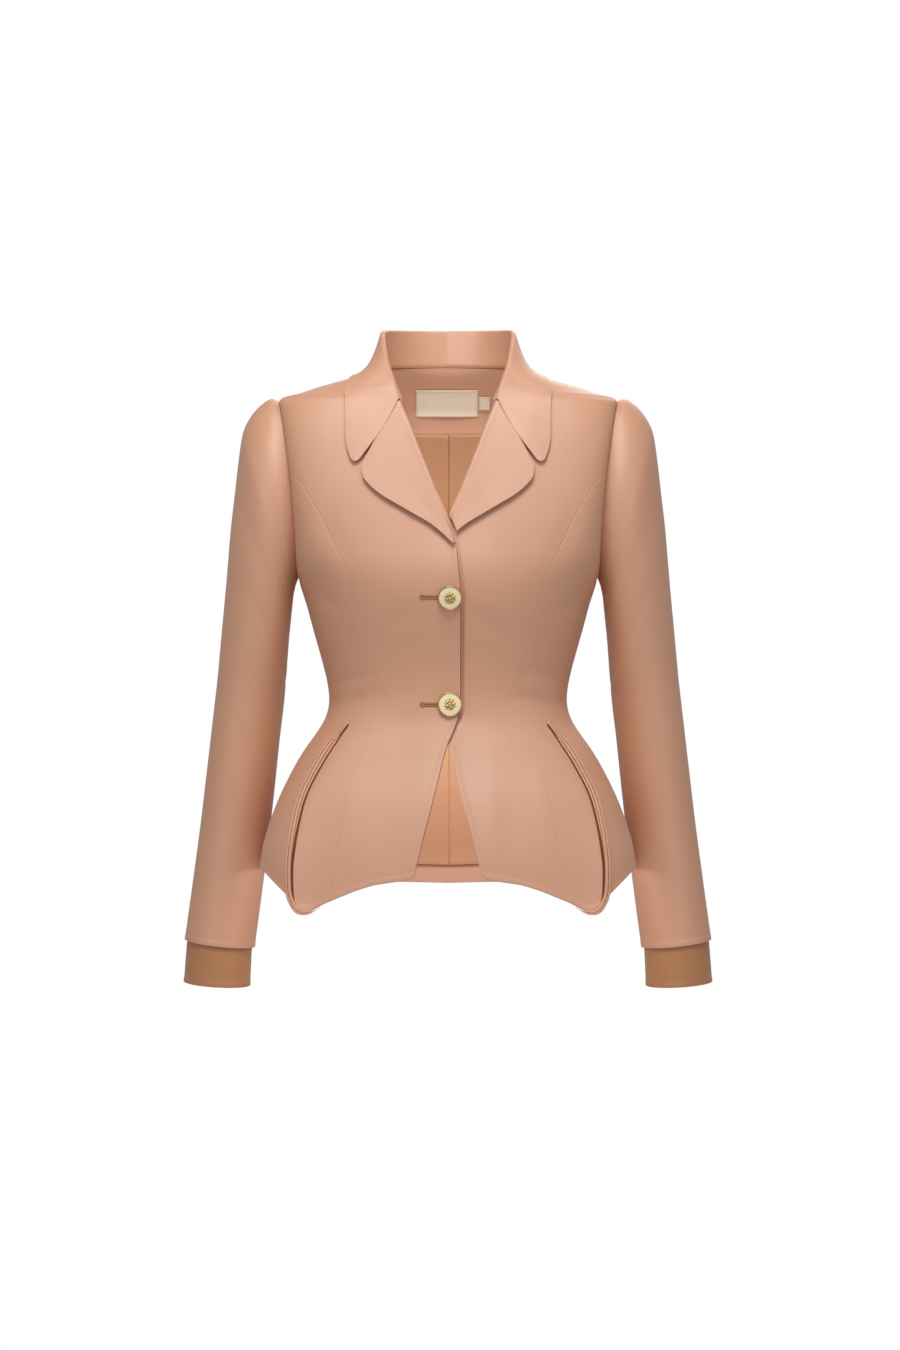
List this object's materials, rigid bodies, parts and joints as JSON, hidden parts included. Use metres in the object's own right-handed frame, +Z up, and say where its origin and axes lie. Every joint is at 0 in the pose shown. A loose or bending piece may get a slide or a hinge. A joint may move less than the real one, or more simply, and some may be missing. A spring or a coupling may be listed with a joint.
{
  "type": "peplum jacket",
  "caption": "Fitted single-breasted peplum jacket in its worn, hollow form, with notched lapels, rolled collar, long sleeves, cutaway front and flared hip panels.",
  "frame": {"origin": "between the two neck points, where the wearer's shoulders hold the jacket up", "axes": "+Z up, -Y out of the front, -X towards the wearer's right side"},
  "size_m": [0.5788, 0.2897, 0.7197],
  "materials": {
    "suiting": "matte twill",
    "lining": "satin",
    "inner_cuff": "satin",
    "label": "woven",
    "button": "gloss, with a gold rim"
  },
  "bodies": {
    "root": {"front_right": "suiting", "side_front_right": "suiting", "side_right": "suiting", "side_back_right": "suiting", "back_right": "suiting", "lapel_right": "suiting", "hip_ridge_inner_right": "suiting", "hip_ridge_outer_right": "suiting", "upper_sleeve_right": "suiting", "under_sleeve_right": "suiting", "cuff_right": "inner_cuff", "back_lining_right": "lining", "front_left": "suiting", "side_front_left": "suiting", "side_left": "suiting", "side_back_left": "suiting", "back_left": "suiting", "lapel_left": "suiting", "hip_ridge_inner_left": "suiting", "hip_ridge_outer_left": "suiting", "upper_sleeve_left": "suiting", "under_sleeve_left": "suiting", "cuff_left": "inner_cuff", "back_lining_left": "lining", "collar": "suiting", "back_neck_facing": "suiting", "label": "label", "size_tab": "label", "button_upper": "button", "button_lower": "button"}
  },
  "joints": []
}
